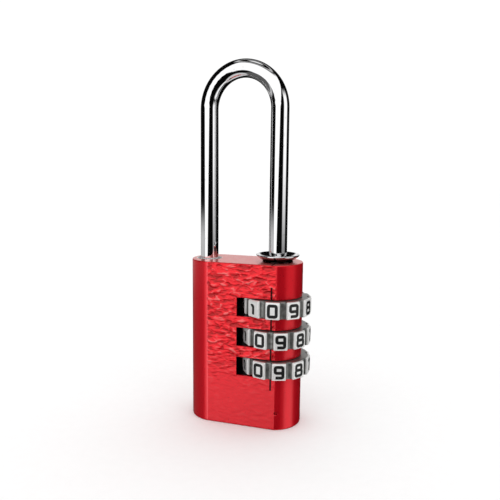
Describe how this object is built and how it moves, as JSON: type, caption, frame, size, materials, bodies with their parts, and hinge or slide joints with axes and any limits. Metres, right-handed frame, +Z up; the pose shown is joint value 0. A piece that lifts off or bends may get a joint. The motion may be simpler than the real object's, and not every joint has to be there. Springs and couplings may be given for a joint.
{
  "type": "combination padlock",
  "caption": "Combination padlock with a long chromed shackle, a flat-faced red anodised body and side number dials stacked on the shackle's heel leg.",
  "frame": {"origin": "centre of the body's flat bottom face", "axes": "+X towards the dials and the heel leg, -Y out of the front face with the index line, +Z up along the shackle"},
  "size_m": [0.0343, 0.019, 0.0999],
  "materials": {
    "red_anodised": "red anodised, faces brushed across, ends smooth",
    "shackle_chrome": "bright chrome plated hardened steel",
    "collar_chrome": "bright chrome plated",
    "dial_nickel": "satin nickel plated",
    "digit_ink": "black filled numbers",
    "sleeve_brass": "turned",
    "inner_steel": "plain",
    "spring_steel": "drawn",
    "plug_aluminium": "red anodised, turned"
  },
  "bodies": {
    "lock_body": {"body": "red_anodised", "heel_collar": "collar_chrome", "spacer_ring_1": "inner_steel", "spacer_ring_2": "inner_steel", "spacer_ring_3": "inner_steel", "spacer_ring_4": "inner_steel", "detent_spring_1": "spring_steel", "detent_spring_2": "spring_steel", "detent_spring_3": "spring_steel", "shackle_spring": "spring_steel", "reset_spring": "spring_steel", "reset_washer": "inner_steel", "bottom_plug": "plug_aluminium", "plug_pin": "inner_steel"},
    "shackle": {"shackle": "shackle_chrome"},
    "dial_1": {"dial_1": "dial_nickel", "clutch_sleeve_1": "sleeve_brass"},
    "dial_2": {"dial_2": "dial_nickel", "clutch_sleeve_2": "sleeve_brass"},
    "dial_3": {"dial_3": "dial_nickel", "clutch_sleeve_3": "sleeve_brass"}
  },
  "joints": [
    {"name": "shackle_lift", "type": "slide", "parent": "lock_body", "child": "shackle", "axis": [0, 0, 1], "range_m": [0, 0.0083], "deforming": ["shackle_spring"]},
    {"name": "dial_1_turn", "type": "hinge", "parent": "lock_body", "child": "dial_1", "pos_m": [0.0089, 0, 0.0337], "axis": [0, 0, 1], "continuous": true, "deforming": ["detent_spring_1"]},
    {"name": "dial_2_turn", "type": "hinge", "parent": "lock_body", "child": "dial_2", "pos_m": [0.0089, 0, 0.0254], "axis": [0, 0, 1], "continuous": true, "deforming": ["detent_spring_2"]},
    {"name": "dial_3_turn", "type": "hinge", "parent": "lock_body", "child": "dial_3", "pos_m": [0.0089, 0, 0.0171], "axis": [0, 0, 1], "continuous": true, "deforming": ["detent_spring_3"]}
  ]
}
